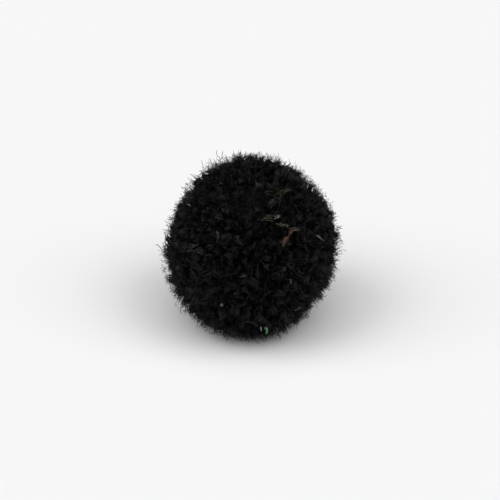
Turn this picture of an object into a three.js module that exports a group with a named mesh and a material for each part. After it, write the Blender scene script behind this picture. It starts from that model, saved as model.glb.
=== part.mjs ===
// Black chenille pom-pom: a ball of cut pile, trimmed nearly round, with the pile gathered in small
// pointed tufts and pressed flat in one spot underneath, where the ball rests.
// Millimetres, +Z up. The origin is on the surface that the ball rests on, under the middle of its box.

import * as THREE from 'three';
import { mergeVertices } from 'three/addons/utils/BufferGeometryUtils.js';

// Trimmed ball: half widths from the middle out to the tips of the tufts, and the lean of its long side
const HALF_WIDTH_X = 6.25;
const HALF_WIDTH_Y = 6.65;
const HALF_WIDTH_Z = 6.65;
const LEAN_TOWARDS_X_DEG = 8;

// Places where the trimming left the ball lower or higher than an oval: the direction from the middle,
// the rise of the surface there, and the angle over which the rise fades out
const SWELLS = [
  { direction: [-0.9, 0.2, 0.37], rise: -0.34, fadeDeg: 30 },
  { direction: [-0.34, 0.45, 0.82], rise: 0.16, fadeDeg: 25 },
  { direction: [0.77, -0.31, -0.56], rise: -0.26, fadeDeg: 28 },
  { direction: [0.55, 0.8, 0.2], rise: -0.22, fadeDeg: 30 },
  { direction: [-0.5, 0.8, -0.3], rise: 0.2, fadeDeg: 28 },
  { direction: [0.1, -0.95, 0.3], rise: 0.12, fadeDeg: 35 },
];

// Resting spot: height of the ball's middle above the surface. Pile that would reach lower is pressed flat
const MIDDLE_HEIGHT = 5.7;

// Tufts: one on each face of an icosahedron whose edges are divided, three-sided, with a single tip
const TUFTS_ALONG_EDGE = 13;
const TUFT_LENGTH = 0.8;
const TIP_UNEVENNESS = 0.3;
const VALLEY_UNEVENNESS = 0.16;
const VALLEY_STRAY = 0.3;
const TIP_CENTRING = 0.25;
const RANDOM_SEED = 13;

const PILE_BLACK = 0x101011;
const PILE_ROUGHNESS = 0.95;

const random = THREE.MathUtils.seededRandom;
const spread = (width) => (random() - 0.5) * width;
const leanAxis = new THREE.Vector3(0, 1, 0);
const lean = THREE.MathUtils.degToRad(LEAN_TOWARDS_X_DEG);

const swells = SWELLS.map(({ direction, rise, fadeDeg }) => ({
  direction: new THREE.Vector3(...direction).normalize(),
  rise,
  fade: THREE.MathUtils.degToRad(fadeDeg),
}));

// Distance from the ball's middle to its trimmed surface along a unit direction
function trimmedRadius(direction) {
  const upright = direction.clone().applyAxisAngle(leanAxis, -lean);
  const oval = 1 / Math.hypot(upright.x / HALF_WIDTH_X, upright.y / HALF_WIDTH_Y, upright.z / HALF_WIDTH_Z);
  return swells.reduce(
    (radius, swell) => radius + swell.rise * Math.exp(-((direction.angleTo(swell.direction) / swell.fade) ** 2)),
    oval,
  );
}

// Point of the pile along a unit direction, a given depth under the trimmed surface. The resting spot is
// the plane z = 0: pile that would pass it ends on it, still in the same direction from the middle.
function pilePoint(direction, depth) {
  const radius = trimmedRadius(direction) - depth;
  const point = direction.clone().multiplyScalar(radius);
  if (point.z >= -MIDDLE_HEIGHT) {
    return point.setZ(point.z + MIDDLE_HEIGHT);
  }
  return point.multiplyScalar(MIDDLE_HEIGHT / -point.z).setZ(0);
}

// Valleys between the tufts: the divided icosahedron's corners, strayed from their even places
function valleyDirections(corners) {
  const cornerSpacing = Math.sqrt((4 * Math.PI) / corners.count);
  const stray = VALLEY_STRAY * cornerSpacing;
  return Array.from({ length: corners.count }, (_, i) => {
    const direction = new THREE.Vector3().fromBufferAttribute(corners, i);
    direction.add(new THREE.Vector3(spread(stray), spread(stray), spread(stray)));
    return direction.normalize();
  });
}

// Direction of a tuft's tip: somewhere well inside the three valleys round it
function tipDirection(valleys) {
  const tip = new THREE.Vector3();
  valleys.forEach((valley) => tip.addScaledVector(valley, TIP_CENTRING + random()));
  return tip.normalize();
}

function pileGeometry() {
  const lattice = new THREE.IcosahedronGeometry(1, TUFTS_ALONG_EDGE - 1);
  lattice.deleteAttribute('normal');
  lattice.deleteAttribute('uv');
  const even = mergeVertices(lattice);
  const corner = even.getIndex();

  const directions = valleyDirections(even.getAttribute('position'));
  const points = directions.map((direction) => pilePoint(direction, TUFT_LENGTH + spread(VALLEY_UNEVENNESS)));
  const faces = [];
  for (let i = 0; i < corner.count; i += 3) {
    const ring = [corner.getX(i), corner.getX(i + 1), corner.getX(i + 2)];
    const tip = points.length;
    points.push(pilePoint(tipDirection(ring.map((valley) => directions[valley])), spread(TIP_UNEVENNESS)));
    ring.forEach((valley, side) => faces.push(valley, ring[(side + 1) % 3], tip));
  }

  const geometry = new THREE.BufferGeometry().setFromPoints(points);
  geometry.setIndex(faces);
  return geometry;
}

// Middle of the box over the origin, with the resting spot left at z = 0
function centreOverOrigin(geometry) {
  geometry.computeBoundingBox();
  const middle = geometry.boundingBox.getCenter(new THREE.Vector3());
  return geometry.translate(-middle.x, -middle.y, 0);
}

random(RANDOM_SEED);
const pile = new THREE.Mesh(
  centreOverOrigin(pileGeometry()),
  new THREE.MeshStandardMaterial({ color: PILE_BLACK, roughness: PILE_ROUGHNESS, metalness: 0 }),
);
pile.name = 'pile_ball';
pile.geometry.computeVertexNormals();

const pomPom = new THREE.Group();
pomPom.add(pile);

export default pomPom;
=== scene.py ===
# %% [markdown]
# # A black chenille pom-pom
# The real thing is a ball of fine black fibres, gripped at the middle and trimmed nearly round. From a
# step away it is a soft black ball; close up it is thousands of cut ends, gathered in little locks, with
# loose hairs standing off the rim and a few coloured fibres caught in it.
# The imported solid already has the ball's size and one pointed tuft for every lock. This lesson keeps the
# solid as a guide: it reads the tufts from it and grows real fibres where they stand.

# %% Load the solid that guides every piece
import math
import random

import bmesh
import bpy
from mathutils import Matrix, Vector, noise
from mathutils.bvhtree import BVHTree
from mathutils.geometry import intersect_line_sphere
from mathutils.kdtree import KDTree


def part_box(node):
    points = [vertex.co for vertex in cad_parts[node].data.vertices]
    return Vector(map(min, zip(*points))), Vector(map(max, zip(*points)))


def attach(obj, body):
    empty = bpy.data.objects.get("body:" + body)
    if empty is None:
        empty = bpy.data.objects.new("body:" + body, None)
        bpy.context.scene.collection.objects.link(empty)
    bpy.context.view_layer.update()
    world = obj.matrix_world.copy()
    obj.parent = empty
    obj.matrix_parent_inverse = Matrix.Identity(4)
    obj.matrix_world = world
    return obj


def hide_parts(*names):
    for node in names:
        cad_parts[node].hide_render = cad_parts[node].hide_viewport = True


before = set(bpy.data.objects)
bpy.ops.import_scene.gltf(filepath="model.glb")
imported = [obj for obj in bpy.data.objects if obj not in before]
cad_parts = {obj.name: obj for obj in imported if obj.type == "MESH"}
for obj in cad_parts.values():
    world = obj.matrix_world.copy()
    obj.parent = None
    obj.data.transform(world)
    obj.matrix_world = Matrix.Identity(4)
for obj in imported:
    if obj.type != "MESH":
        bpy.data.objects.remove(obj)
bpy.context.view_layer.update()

MM = 0.001
SOLID = "pile_ball"
BODY = "root"

low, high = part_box(SOLID)
middle = (low + high) / 2
print("solid, mm:", [round(side / MM, 2) for side in high - low])

# %% [markdown]
# ## Camera
# The camera comes early, because the stray fibres are placed by where they show in the photograph. The
# soft shadows on the ground fit a view about 29 degrees above the table. The lens is long, as for a
# close-up of a small thing, so the ball keeps its round outline. The ball is taken to be the 13 mm stock
# size and is about 180 pixels across, which gives the size of a pixel and how far off the camera stands.

# %% Camera at the photograph's angle
PHOTO_PIXELS = 500
BALL_WIDTH = 13.0
BALL_PIXELS = 180
PIXEL = BALL_WIDTH / BALL_PIXELS * MM
VIEW_ELEVATION = math.radians(29)
LENS = 180.0
SENSOR = 36.0
BALL_PIXEL = (252.0, 241.5)
CLIP_NEAR = 10 * MM
CLIP_FAR = 5000 * MM

right = Vector((1, 0, 0))
back = Vector((0, -math.cos(VIEW_ELEVATION), math.sin(VIEW_ELEVATION)))
up = back.cross(right)
half_frame = PHOTO_PIXELS / 2
aim = middle - right * (BALL_PIXEL[0] - half_frame) * PIXEL + up * (BALL_PIXEL[1] - half_frame) * PIXEL
camera_distance = PHOTO_PIXELS * PIXEL * LENS / SENSOR

camera_data = bpy.data.cameras.new("photo_camera")
camera_data.lens = LENS
camera_data.sensor_width = SENSOR
camera_data.clip_start = CLIP_NEAR
camera_data.clip_end = CLIP_FAR
camera = bpy.data.objects.new("photo_camera", camera_data)
camera.location = aim + back * camera_distance
camera.rotation_euler = (math.pi / 2 - VIEW_ELEVATION, 0, 0)
bpy.context.scene.collection.objects.link(camera)
bpy.context.scene.camera = camera
print("camera stands", round(camera_distance / MM), "mm off")

# %% [markdown]
# ## Reading the tufts
# On the solid a tuft is a three-sided point: its tip is the only kind of corner where just three edges
# meet. So after its doubles are merged, the solid itself says where each lock of fibres stands, which
# way it leans and how long it is. Where the ball is pressed flat underneath, a tip lies in the plane of
# its own root, and there the lock runs straight out from the ball's middle instead. Round its waist the
# ball in the photograph has pile that stands off a little further, so locks there grow by up to a quarter.

# %% Root and tip of every lock
WELD = 0.001 * MM
TUFT_SIDES = 3
PRESSED_SHARE = 0.4
PRESSED_LENGTH = 0.6 * MM
WAIST_GROWTH = 0.25

solid = bmesh.new()
solid.from_mesh(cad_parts[SOLID].data)
bmesh.ops.remove_doubles(solid, verts=solid.verts, dist=WELD)
solid_surface = BVHTree.FromBMesh(solid)


def tuft_tips(bm):
    """The corners of a solid that are tips of tufts."""
    return [corner for corner in bm.verts if len(corner.link_edges) == TUFT_SIDES]


def tuft_root(tip_corner):
    """The middle of the three corners that a tuft stands on."""
    return sum((edge.other_vert(tip_corner).co for edge in tip_corner.link_edges), Vector()) / TUFT_SIDES


def lock_ends(tip_corner):
    """Root and tip of the lock that stands at one of the solid's tuft tips."""
    tip = tip_corner.co.copy()
    root = tuft_root(tip_corner)
    outward = (tip - middle).normalized()
    if (tip - root).dot(outward) < PRESSED_SHARE * PRESSED_LENGTH:
        root = tip - outward * PRESSED_LENGTH
    return root, root.lerp(tip, 1 + WAIST_GROWTH * (1 - abs(outward.z)))


locks = [lock_ends(corner) for corner in tuft_tips(solid)]
mean_length = sum((tip - root).length for root, tip in locks) / len(locks)
print("locks:", len(locks), "mean length, mm:", round(mean_length / MM, 3))

# %% [markdown]
# ## Materials
# Chenille pile is spun from fine synthetic fibre, acrylic or polyester, dyed black in the mass. Crimped and
# cut, it has almost no gloss: the ends point every way, and light that gets in between them is lost. Its
# black isn't even either. Dusty and faded locks are greyer, and tips catch a little more dust than roots;
# the rest of the darkening towards the roots is painted shade, the shade that falls deep between the fibres.
# A noise texture could give that, but it would run across fibres and not along them. So every fibre
# carries a UV map: across the map runs its own tone, and up the map its height above the imported pile,
# which sets its painted shade. The same few nodes then finish black pile and coloured lint alike.

# %% Colour and node helpers
FIBRE_MAP = "OFBake"


def linear(hex_colour):
    """An sRGB hex colour as linear RGBA."""
    channels = [int(hex_colour[i : i + 2], 16) / 255 for i in (1, 3, 5)]
    return [c / 12.92 if c <= 0.04045 else ((c + 0.055) / 1.055) ** 2.4 for c in channels] + [1.0]


def add_node(tree, kind, settings=(), **inputs):
    """Adds a node, sets its properties, and gives each named input a value or a link."""
    node = tree.nodes.new(kind)
    for name, value in dict(settings).items():
        setattr(node, name, value)
    for name, value in inputs.items():
        socket = node.inputs[name.replace("_", " ")]
        if isinstance(value, bpy.types.NodeSocket):
            tree.links.new(value, socket)
        else:
            socket.default_value = value
    return node


def new_material(name):
    """A material with an empty tree, and its output node."""
    material = bpy.data.materials.new(name)
    material.use_nodes = True
    material.node_tree.nodes.clear()
    return material, add_node(material.node_tree, "ShaderNodeOutputMaterial")


# %% Fibre material
FIBRE_IOR = 1.5
# How steeply the painted shade darkens a fibre below its tip.
ROOT_SHADE_POWER = 3.2


def fibre_material(name, tones, roughness, gloss, root_shade):
    """Dyed fibre. tones are hex colours from the blackest fibre to the palest; painted shade darkens what lies
    deep.
    """
    material, output = new_material(name)
    tree = material.node_tree
    fibre_uv = add_node(tree, "ShaderNodeUVMap", {"uv_map": FIBRE_MAP})
    parts = add_node(tree, "ShaderNodeSeparateXYZ", Vector=fibre_uv.outputs["UV"])
    tone = add_node(tree, "ShaderNodeValToRGB", Fac=parts.outputs["X"])
    stops = tone.color_ramp.elements
    while len(stops) < len(tones):
        stops.new(0.5)
    for i, hex_colour in enumerate(tones):
        stops[i].position = i / (len(tones) - 1)
        stops[i].color = linear(hex_colour)
    # Painted shade: the colour darkens with depth, down to root_shade at the roots, for the shade deep in the
    # pile.
    height = add_node(tree, "ShaderNodeMath", {"operation": "POWER"})
    tree.links.new(parts.outputs["Y"], height.inputs[0])
    height.inputs[1].default_value = ROOT_SHADE_POWER
    shade = add_node(tree, "ShaderNodeMapRange", Value=height.outputs["Value"], To_Min=root_shade, To_Max=1.0)
    colour = add_node(
        tree, "ShaderNodeVectorMath", {"operation": "SCALE"},
        Vector=tone.outputs["Color"], Scale=shade.outputs["Result"],
    )
    surface = add_node(
        tree, "ShaderNodeBsdfPrincipled",
        Base_Color=colour.outputs["Vector"], Roughness=roughness, IOR=FIBRE_IOR, Specular_IOR_Level=gloss,
    )
    tree.links.new(surface.outputs["BSDF"], output.inputs["Surface"])
    return material


# Deep black at the roots from painted shade, and dull grey at the tips of the dustiest locks.
black_fibre = fibre_material(
    "black_synthetic_fibre", ["#131313", "#494949", "#707070", "#969696"],
    roughness=0.5, gloss=0.04, root_shade=0.05,
)
print("material:", black_fibre.name)

# %% [markdown]
# ## Packed pile
# Under the loose ends the fibres stand so close that the eye sees one dark, felted surface. It could be a
# plain sphere, but then the gaps between locks would show a smooth ball. Here it is a copy of the solid
# with its tufts cut down to stubs, so that its valleys lie exactly where the locks part.

# %% Packed pile from a copy of the solid
STUB_SHARE = 0.3
PACKED_SINK = 0.06 * MM
FELT_RISE = 0.05 * MM
RANDOM_SEED = 21
# The blackest end of the fibre map, at root height under the deepest painted shade; its corners lie apart so
# that a face has some area.
PACKED_UV = ((0.01, 0.0), (0.02, 0.0), (0.01, 0.01))

random.seed(RANDOM_SEED)


def add_piece(bm, name, material):
    """Turns a bmesh into a finished piece that rides on the ball's one body."""
    mesh = bpy.data.meshes.new(name)
    bm.to_mesh(mesh)
    bm.free()
    mesh.materials.append(material)
    piece = bpy.data.objects.new(name, mesh)
    bpy.context.scene.collection.objects.link(piece)
    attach(piece, BODY)
    print(name, "triangles:", sum(len(face.vertices) - 2 for face in mesh.polygons))
    return piece


packed = solid.copy()
for corner in tuft_tips(packed):
    corner.co = tuft_root(corner).lerp(corner.co, STUB_SHARE)
bmesh.ops.subdivide_edges(packed, edges=packed.edges, cuts=1, use_grid_fill=True)
for corner in packed.verts:
    outward = (corner.co - middle).normalized()
    corner.co += outward * (random.uniform(-FELT_RISE, FELT_RISE) - PACKED_SINK)
    corner.co.z = max(corner.co.z, PACKED_SINK)
bmesh.ops.triangulate(packed, faces=packed.faces)
packed_map = packed.loops.layers.uv.new(FIBRE_MAP)
for face in packed.faces:
    face.smooth = True
    for loop, place in zip(face.loops, PACKED_UV):
        loop[packed_map].uv = place
packed_pile = add_piece(packed, "packed_pile", black_fibre)
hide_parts(SOLID)

# %% [markdown]
# ## One fibre
# A fibre is a long thin tube. A curve with a bevel would do, but tens of thousands of curves are slow and
# have many faces. So a fibre starts as a triangle, which bmesh extrudes step by step along its path and
# closes to a point. Three sides are enough: smooth shading makes so thin a tube look round.
# Real fibre of this pile is about 0.03 mm thick, which is half a pixel here. Loose hairs are drawn at
# that; the fibres in a lock are a little coarser, so that a dozen of them fill it.

# %% Drawing a fibre
SIDES = 3
MAP_WIDTH = 0.02


def draw_fibre(bm, path, heights, radius, tone):
    """Extrudes a fibre along path, closes its tip, and maps its tone across and its heights up the UV map."""
    fibre_map = bm.loops.layers.uv.verify()
    height = bm.verts.layers.float.get("height") or bm.verts.layers.float.new("height")
    across = bm.verts.layers.float.get("across") or bm.verts.layers.float.new("across")
    heading = path[1] - path[0]
    start = Matrix.Translation(path[0]) @ heading.to_track_quat("Z", "Y").to_matrix().to_4x4()
    ring = bmesh.ops.create_circle(bm, cap_ends=True, segments=SIDES, radius=radius, matrix=start)["verts"]
    for side, corner in enumerate(ring):
        corner[across] = side / SIDES
        corner[height] = heights[0]
    end = ring[0].link_faces[0]
    skin = {end}
    for step in range(1, len(path)):
        grown = bmesh.ops.extrude_face_region(bm, geom=[end, *end.edges])["geom"]
        ring = [part for part in grown if isinstance(part, bmesh.types.BMVert)]
        end = next(part for part in grown if isinstance(part, bmesh.types.BMFace))
        new_heading = path[min(step + 1, len(path) - 1)] - path[step - 1]
        bmesh.ops.translate(bm, verts=ring, vec=path[step] - path[step - 1])
        turn = heading.rotation_difference(new_heading).to_matrix()
        bmesh.ops.rotate(bm, verts=ring, cent=path[step], matrix=turn)
        heading = new_heading
        for corner in ring:
            corner[height] = heights[step]
            skin.update(corner.link_faces)
    bmesh.ops.pointmerge(bm, verts=ring, merge_co=path[-1])
    for face in skin:
        if face.is_valid:
            face.smooth = True
            for i, loop in enumerate(face.loops):
                corner = loop.vert
                loop[fibre_map].uv = (tone + MAP_WIDTH * corner[across], corner[height] + MAP_WIDTH * (i % 2))


def strayed(width):
    """A small random step in any direction."""
    return Vector((random.gauss(0, width), random.gauss(0, width), random.gauss(0, width)))


def side_axis(heading, turn):
    """A direction square to heading, turned about it."""
    axis = heading.orthogonal().normalized()
    axis.rotate(Matrix.Rotation(turn, 3, heading))
    return axis


def curled_path(root, heading, axis, length, steps, curl, wander):
    """Points of a fibre that bends evenly by curl about axis, with a little wandering at each step."""
    path = [root]
    direction = heading.normalized()
    for _ in range(steps):
        direction.rotate(Matrix.Rotation(curl / steps, 3, axis))
        path.append(path[-1] + (direction + strayed(wander)).normalized() * length / steps)
    return path


# %% [markdown]
# ## Locks of pile
# Cut chenille falls into small locks: fibres that were spun side by side share one bend and lie together,
# with darker gaps between one lock and the next. Growing every fibre on its own would lose that. So a
# few dozen different locks are made once, standing up on the origin, from the blackest to the
# dustiest. Later a turned and scaled copy of one goes to each tuft of the solid.

# %% Lock variants
# Lengths are in millimetres, and a range is a share of the length or radius that it goes with.
LOCK_VARIANTS = 48
FIBRES_PER_LOCK = 12
LOCK_LENGTH = 0.8
LOCK_LENGTH_RANGE = (1.15, 1.55)
LOCK_LEAN = 0.3
LOCK_SINK = 0.1
LOCK_RADIUS = 0.18
LOCK_CRIMP = 0.3
LOCK_CURL = 1.3
CURL_SPREAD = 0.6
FIBRE_RADIUS = 0.025
FIBRE_STRAY = 0.025
FIBRE_REACH_RANGE = (0.75, 1.1)
THICKNESS_RANGE = (0.8, 1.2)
TIP_GATHER = 0.2
FIBRE_STEPS = 3
LOWEST_LIFT = 0.1
LIFT_FALL = 9
TONE_SPREAD = 0.02
TONE_LIMITS = (0.02, 0.95)


def fibre_tone(lift):
    """Tone of one fibre, from 0, deep black, to 1, faded grey: most are near the bottom."""
    blackest, palest = TONE_LIMITS
    return min(palest, max(blackest, random.gauss(0, TONE_SPREAD) + lift))


def finished_variant(bm, name):
    """A mesh that copies are made of, with its faces turned outwards."""
    bmesh.ops.recalc_face_normals(bm, faces=bm.faces)
    mesh = bpy.data.meshes.new(name)
    bm.to_mesh(mesh)
    bm.free()
    return mesh


def lock_variant(lift):
    """A mesh of one lock, in millimetres, root on the origin and tip up +Z."""
    bm = bmesh.new()
    bm.loops.layers.uv.new(FIBRE_MAP)
    lean = Vector((random.gauss(0, LOCK_LEAN), random.gauss(0, LOCK_LEAN), 1))
    axis = side_axis(lean, random.uniform(0, math.tau))
    length = LOCK_LENGTH * random.uniform(*LOCK_LENGTH_RANGE)
    curl = random.gauss(LOCK_CURL, CURL_SPREAD)
    core = curled_path(Vector((0, 0, -LOCK_SINK)), lean, axis, length, FIBRE_STEPS, curl, LOCK_CRIMP)
    for _ in range(FIBRES_PER_LOCK):
        angle = random.uniform(0, math.tau)
        beside = LOCK_RADIUS * math.sqrt(random.random()) * Vector((math.cos(angle), math.sin(angle), 0))
        reach = random.uniform(*FIBRE_REACH_RANGE)
        path = [
            point * reach + beside * (1 - TIP_GATHER * step / FIBRE_STEPS) + strayed(FIBRE_STRAY)
            for step, point in enumerate(core)
        ]
        # A point's height up the lock sets how much painted shade it gets.
        heights = [min(1, max(0, point.z / LOCK_LENGTH)) for point in path]
        draw_fibre(bm, path, heights, FIBRE_RADIUS * random.uniform(*THICKNESS_RANGE), fibre_tone(lift))
    return finished_variant(bm, "lock_variant")


lifts = sorted(LOWEST_LIFT + random.expovariate(LIFT_FALL) for _ in range(LOCK_VARIANTS))
lock_variants = [lock_variant(lift) for lift in lifts]
print("faces in a lock:", len(lock_variants[0].polygons))

# %% Planting copies, and pressing the pile flat underneath
PRESS_START = 0.15 * MM


def standing(root, tip, variant_length):
    """Matrix that stands a variant on root with its tip at tip, turned at random about its own length."""
    axis = tip - root
    turn = axis.to_track_quat("Z", "Y").to_matrix().to_4x4()
    spin = Matrix.Rotation(random.uniform(0, math.tau), 4, "Z")
    return Matrix.Translation(root) @ turn @ spin @ Matrix.Scale(axis.length / variant_length, 4)


def plant(places):
    """One bmesh with a copy of a variant at each place, pressed flat where it meets the table."""
    bm = bmesh.new()
    for variant, place in places:
        copy = variant.copy()
        copy.transform(place)
        bm.from_mesh(copy)
        bpy.data.meshes.remove(copy)
    for corner in bm.verts:
        if corner.co.z < PRESS_START:
            corner.co.z = PRESS_START * math.exp(corner.co.z / PRESS_START - 1)
    return bm


# %% [markdown]
# ## Groups and patches
# Handling felts a pom-pom a little. Two or three neighbouring locks close up over a common head, and the
# ball gets its mottled look from heads that stand higher and are dustier than the ones around them. Each
# head takes its level from a noise a couple of millimetres wide, and its locks lean towards it.

# %% Groups of locks that close up together
GROUP_SIZE = 3
GROUP_PULL = 0.45
PATCH_SIZE = 1.8 * MM
PATCH_CONTRAST = 1.6
# A level runs from 0, for a low black lock, to 1, for a high dusty one.
MIDDLE_LEVEL = 0.5
TOP_LEVEL = 0.999
HEAD_SPREAD = 0.35
LOCK_SPREAD = 0.12
LOW_LOCK = 0.95
HIGH_LOCK = 1.08

heads = random.sample([tip for _, tip in locks], len(locks) // GROUP_SIZE)
head_levels = [
    MIDDLE_LEVEL + PATCH_CONTRAST * noise.noise(head / PATCH_SIZE) + random.gauss(0, HEAD_SPREAD)
    for head in heads
]
head_tree = KDTree(len(heads))
for number, head in enumerate(heads):
    head_tree.insert(head, number)
head_tree.balance()


def planted_lock(root, tip):
    """The variant for one tuft of the solid, leaning towards the head of its group, and its place."""
    head, number, _ = head_tree.find(tip)
    level = min(TOP_LEVEL, max(0.0, head_levels[number] + random.gauss(0, LOCK_SPREAD)))
    reach = LOW_LOCK + (HIGH_LOCK - LOW_LOCK) * level
    top = root + (tip.lerp(head, GROUP_PULL) - root) * reach
    return lock_variants[int(level * LOCK_VARIANTS)], standing(root, top, LOCK_LENGTH)


print("groups:", len(heads))

# %% Locks in four quarters of the ball, so that no piece is too heavy
QUARTERS = {
    "pile_front_left": (-1, -1),
    "pile_front_right": (1, -1),
    "pile_back_left": (-1, 1),
    "pile_back_right": (1, 1),
}
for name, (side_x, side_y) in QUARTERS.items():
    places = [
        planted_lock(root, tip)
        for root, tip in locks
        if (root.x >= middle.x) == (side_x > 0) and (root.y >= middle.y) == (side_y > 0)
    ]
    piece = add_piece(plant(places), name, black_fibre)
    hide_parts(SOLID)

# %% [markdown]
# ## Loose hairs
# Trimming never catches every fibre. Single hairs stand off the ball, finer and curlier than the locks,
# and they give the rim its soft, prickly edge against the pale ground. A particle system would grow them
# too, but its hairs would have to be made mesh in the end, so copies of a few dozen hairs are planted.

# %% Loose hairs over the whole ball
HAIR_VARIANTS = 60
HAIR_COUNT = 11000
HAIR_LENGTH = 0.5
HAIR_LENGTH_RANGE = (0.7, 1.3)
HAIR_RADIUS = 0.015
HAIR_STEPS = 4
HAIR_CURL = 2.2
HAIR_CRIMP = 0.45
HAIR_LEAN = 0.7
HAIR_LIFT = 0.34
HAIR_FOOT = 0.5
HAIR_START_RANGE = (0.3, 1.0)
HAIR_SIDES = {"loose_hairs_left": -1, "loose_hairs_right": 1}


def hair_variant():
    """A mesh of one loose hair, in millimetres, root on the origin and growing up +Z."""
    bm = bmesh.new()
    bm.loops.layers.uv.new(FIBRE_MAP)
    lean = Vector((random.gauss(0, HAIR_LEAN), random.gauss(0, HAIR_LEAN), 1))
    length = HAIR_LENGTH * random.uniform(*HAIR_LENGTH_RANGE)
    axis = side_axis(lean, random.uniform(0, math.tau))
    path = curled_path(Vector(), lean, axis, length, HAIR_STEPS, random.gauss(0, HAIR_CURL), HAIR_CRIMP)
    # A hair starts half way up, so its foot gets less painted shade than a lock's root.
    heights = [min(1, max(0, HAIR_FOOT + point.z / LOCK_LENGTH)) for point in path]
    draw_fibre(bm, path, heights, HAIR_RADIUS * random.uniform(*THICKNESS_RANGE), fibre_tone(HAIR_LIFT))
    return finished_variant(bm, "hair_variant")


def planted_hair(root, tip):
    """A hair variant that starts part way up one lock, and its place."""
    start = root.lerp(tip, random.uniform(*HAIR_START_RANGE))
    outward = (tip - middle).normalized() * HAIR_LENGTH * MM
    return random.choice(hair_variants), standing(start, start + outward, HAIR_LENGTH)


hair_variants = [hair_variant() for _ in range(HAIR_VARIANTS)]
hairy_locks = [random.choice(locks) for _ in range(HAIR_COUNT)]
for name, side_x in HAIR_SIDES.items():
    places = [planted_hair(root, tip) for root, tip in hairy_locks if (root.x >= middle.x) == (side_x > 0)]
    piece = add_piece(plant(places), name, black_fibre)
    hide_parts(SOLID)

# %% [markdown]
# ## Caught fibres and lint
# A used pom-pom picks things up: a rust-brown strand, a green curl, some olive and tan threads and pale
# specks of lint sit in the pile, and a few long black hairs stand off the rim. They are where the
# photograph shows them. A sight line from the camera through a pixel meets the solid there, and the
# point is set just under the heads of the nearest groups, so each strand lies in the pile from any side.
# A line that misses the ball belongs to a hair on the rim, which stands in the plane of the outline.
# A strand is a loose bundle of fibres of unlike length, because one thick tube would look like wire.

# %% From a pixel of the photograph to the pile
LYING = -0.12 * MM
NEAR_HEADS = 4


def on_outline(pixel):
    """The point in the plane of the ball's outline that a pixel shows."""
    return aim + right * (pixel[0] - half_frame) * PIXEL - up * (pixel[1] - half_frame) * PIXEL


def on_pile(pixel):
    """The point on the outside of the pile that a pixel shows."""
    far = on_outline(pixel)
    hit = solid_surface.ray_cast(camera.location, far - camera.location)[0]
    if hit is None:
        return far
    near_heads = [head for head, _, _ in head_tree.find_n(hit, NEAR_HEADS)]
    radius = sum((head - middle).length for head in near_heads) / NEAR_HEADS + LYING
    crossings = [point for point in intersect_line_sphere(camera.location, far, middle, radius, False) if point]
    return min(crossings, default=hit, key=lambda point: (point - camera.location).length)


# %% Drawing the strands
FRAYED_PART = 3
STRAND_TONES = (0.1, 0.9)


def strand_bmesh(strands):
    """A bmesh of strands. Each is its pixels, its count of fibres, their radius, and how far they spread."""
    bm = bmesh.new()
    bm.loops.layers.uv.new(FIBRE_MAP)
    for pixels, count, radius, spread in strands:
        points = [on_pile(pixel) for pixel in pixels]
        line = points[:1]
        for start, end in zip(points, points[1:]):
            line += [(start + end) / 2, end]
        frayed = len(line) // FRAYED_PART if count > 1 else 0
        for _ in range(count):
            beside = strayed(spread * MM)
            part = line[random.randint(0, frayed) : len(line) - random.randint(0, frayed)]
            path = [point + beside + strayed(spread * MM / 2) for point in part]
            draw_fibre(bm, path, [1.0] * len(path), radius * MM, random.uniform(*STRAND_TONES))
    bmesh.ops.recalc_face_normals(bm, faces=bm.faces)
    return bm


# %% What is caught, and where
# Each strand: its pixels in the photograph, its count of fibres, and their radius and spread in millimetres.
RUST = [
    ([(292.4, 229.8), (291.2, 231.6), (289.5, 234.6)], 11, 0.03, 0.08),
    ([(289.0, 235.2), (286.2, 238.6), (284.2, 241.8), (283.6, 246.0)], 13, 0.028, 0.08),
    ([(165.8, 243.0), (164.8, 246.5), (165.6, 250.0), (164.9, 254.0), (166.0, 257.5)], 3, 0.03, 0.05),
]
TAN = [([(292.5, 230.0), (295.5, 229.3), (299.5, 230.2)], 9, 0.026, 0.06)]
OLIVE = [
    ([(278.0, 193.8), (281.0, 193.4), (284.6, 193.0)], 6, 0.026, 0.07),
    ([(284.6, 192.0), (288.0, 190.2), (292.5, 188.8)], 6, 0.026, 0.08),
    ([(264.0, 220.6), (268.0, 219.6), (272.0, 219.8), (276.0, 222.0)], 6, 0.022, 0.12),
    ([(276.5, 223.6), (281.0, 224.6), (287.0, 226.0)], 6, 0.026, 0.08),
    ([(246.0, 321.6), (250.0, 322.0), (254.0, 323.0), (258.5, 326.2)], 1, 0.028, 0.0),
]
GREEN = [
    (
        [(263.6, 328.0), (265.4, 327.8), (266.9, 329.2), (267.2, 331.2), (266.6, 333.0), (265.2, 335.0)],
        5, 0.03, 0.03,
    ),
]
PALE = [
    ([(274.8, 217.4), (277.5, 216.2), (280.6, 214.6)], 7, 0.026, 0.08),
    ([(286.0, 224.4), (287.2, 225.4), (288.0, 226.6)], 4, 0.03, 0.05),
    ([(316.6, 235.0), (318.5, 236.8), (321.0, 238.4), (322.6, 239.6)], 6, 0.04, 0.05),
    ([(290.6, 278.4), (291.2, 281.0), (291.0, 284.0)], 4, 0.032, 0.04),
    ([(220.8, 303.6), (222.0, 305.0), (223.0, 306.6)], 4, 0.045, 0.05),
    ([(296.2, 309.6), (298.6, 309.0), (301.4, 308.0)], 4, 0.03, 0.06),
    ([(186.6, 203.0), (188.8, 204.2), (191.2, 205.8)], 3, 0.022, 0.06),
]
WHITE = [([(260.6, 327.0), (261.0, 328.6), (260.6, 330.2)], 4, 0.035, 0.03)]
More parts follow.
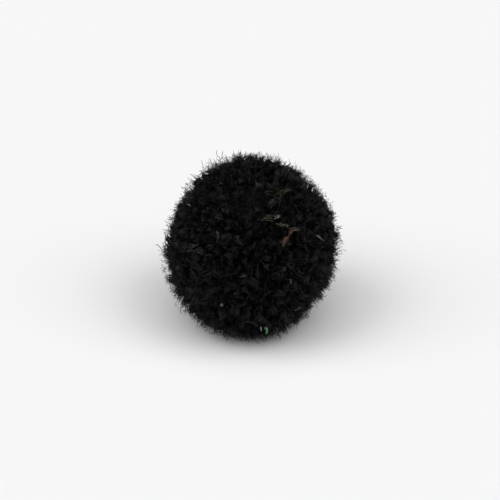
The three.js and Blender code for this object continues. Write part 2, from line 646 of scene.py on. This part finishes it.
GREY = [
    ([(183.0, 249.4), (188.0, 247.6), (193.0, 247.0), (198.0, 246.0)], 8, 0.026, 0.11),
    ([(240.6, 277.0), (243.6, 276.2), (247.4, 276.0)], 5, 0.028, 0.08),
    ([(215.6, 229.4), (218.4, 232.6), (219.2, 237.0), (217.8, 242.6)], 5, 0.026, 0.08),
    ([(240.0, 180.6), (241.2, 181.4), (242.4, 181.2)], 4, 0.03, 0.05),
    ([(219.0, 184.4), (220.2, 183.8), (221.6, 184.0)], 4, 0.03, 0.05),
    ([(222.0, 209.6), (223.2, 210.4), (224.4, 210.0)], 4, 0.03, 0.05),
]
CAUGHT = {
    "rust_fibres": (RUST, ["#44312b", "#6c5045"]),
    "tan_fibres": (TAN, ["#423c32", "#5c5346"]),
    "olive_fibres": (OLIVE, ["#343328", "#504e3c"]),
    "green_fibres": (GREEN, ["#5caa6e", "#86c894"]),
    "pale_lint": (PALE, ["#545654", "#747674"]),
    "white_lint": (WHITE, ["#7a7c7a", "#a0a2a0"]),
    "grey_lint": (GREY, ["#2c2c2b", "#414140"]),
}
for name, (strands, tones) in CAUGHT.items():
    finish = fibre_material(name.replace("_", "_dyed_", 1), tones, roughness=0.6, gloss=0.2, root_shade=1.0)
    add_piece(strand_bmesh(strands), name, finish)

# %% Long black hairs on the rim
LONG_HAIRS = [
    ([(163.5, 251.5), (161.5, 249.0), (159.3, 246.4), (157.4, 244.6), (155.0, 245.4)], 1, 0.028, 0.0),
    ([(219.8, 157.5), (217.2, 156.0), (216.6, 153.0), (216.8, 149.4)], 1, 0.026, 0.0),
    ([(221.5, 158.0), (222.3, 154.4), (222.9, 150.0)], 1, 0.026, 0.0),
    ([(212.5, 165.0), (211.0, 161.7), (209.4, 157.2)], 1, 0.026, 0.0),
    ([(203.5, 167.0), (202.2, 162.8), (201.6, 159.4)], 1, 0.026, 0.0),
    ([(198.0, 178.5), (194.5, 177.4), (192.0, 174.8), (189.4, 174.4)], 1, 0.026, 0.0),
    ([(187.5, 190.5), (184.6, 188.0), (182.6, 188.4), (181.0, 186.0)], 1, 0.026, 0.0),
    ([(171.0, 224.5), (167.5, 222.6), (164.4, 221.0)], 1, 0.026, 0.0),
    ([(183.0, 306.0), (180.6, 308.6), (180.2, 311.4), (181.2, 314.0)], 1, 0.028, 0.0),
]
long_hairs = add_piece(strand_bmesh(LONG_HAIRS), "long_hairs", black_fibre)
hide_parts(SOLID)

# %% [markdown]
# ## Floor and light
# The ball lies on plain white paper. Two soft lamps, one each side, throw the two shadows that spread to
# its left and right, and a very broad one above fills them in. Sun lamps with a wide angle give that
# softness and light the paper evenly. The world adds a little more, and only the camera sees it white.

# %% Paper floor
FLOOR_HALF = 1500 * MM
PAPER_WHITE = "#f7f7f8"
floor_bm = bmesh.new()
bmesh.ops.create_grid(floor_bm, x_segments=1, y_segments=1, size=FLOOR_HALF)
floor_mesh = bpy.data.meshes.new("paper_floor")
floor_bm.to_mesh(floor_mesh)
floor_bm.free()
paper, paper_output = new_material("matt_white_paper")
paper_surface = add_node(
    paper.node_tree, "ShaderNodeBsdfPrincipled",
    Base_Color=linear(PAPER_WHITE), Roughness=0.9, Specular_IOR_Level=0.0,
)
paper.node_tree.links.new(paper_surface.outputs["BSDF"], paper_output.inputs["Surface"])
floor_mesh.materials.append(paper)
floor = bpy.data.objects.new("paper_floor", floor_mesh)
bpy.context.scene.collection.objects.link(floor)

# %% Lamps and world
LAMPS = {
    "lamp_above": {"azimuth": 0, "elevation": 70, "width": 81, "strength": 1.8},
    "lamp_left": {"azimuth": -72, "elevation": 45, "width": 47, "strength": 1.02},
    "lamp_right": {"azimuth": 64, "elevation": 47, "width": 45, "strength": 0.88},
}
WORLD_STRENGTH = 0.03
for name, lamp in LAMPS.items():
    azimuth = math.radians(lamp["azimuth"])
    elevation = math.radians(lamp["elevation"])
    towards = Vector((
        math.sin(azimuth) * math.cos(elevation),
        -math.cos(azimuth) * math.cos(elevation),
        math.sin(elevation),
    ))
    light = bpy.data.lights.new(name, "SUN")
    light.energy = lamp["strength"]
    light.angle = math.radians(lamp["width"])
    lamp_object = bpy.data.objects.new(name, light)
    lamp_object.rotation_euler = towards.to_track_quat("Z", "Y").to_euler()
    bpy.context.scene.collection.objects.link(lamp_object)

world = bpy.data.worlds.new("white_surround")
world.use_nodes = True
bpy.context.scene.world = world
world_tree = world.node_tree
world_tree.nodes.clear()
ray = add_node(world_tree, "ShaderNodeLightPath")
seen = add_node(
    world_tree, "ShaderNodeMapRange",
    Value=ray.outputs["Is Camera Ray"], To_Min=WORLD_STRENGTH, To_Max=1.0,
)
surround = add_node(
    world_tree, "ShaderNodeBackground", Color=linear(PAPER_WHITE), Strength=seen.outputs["Result"]
)
world_output = add_node(world_tree, "ShaderNodeOutputWorld")
world_tree.links.new(surround.outputs["Background"], world_output.inputs["Surface"])
bpy.context.scene.view_settings.view_transform = "Standard"
print("lamps:", list(LAMPS), "world:", WORLD_STRENGTH)

# %% Freeing the solid, and the end
solid.free()
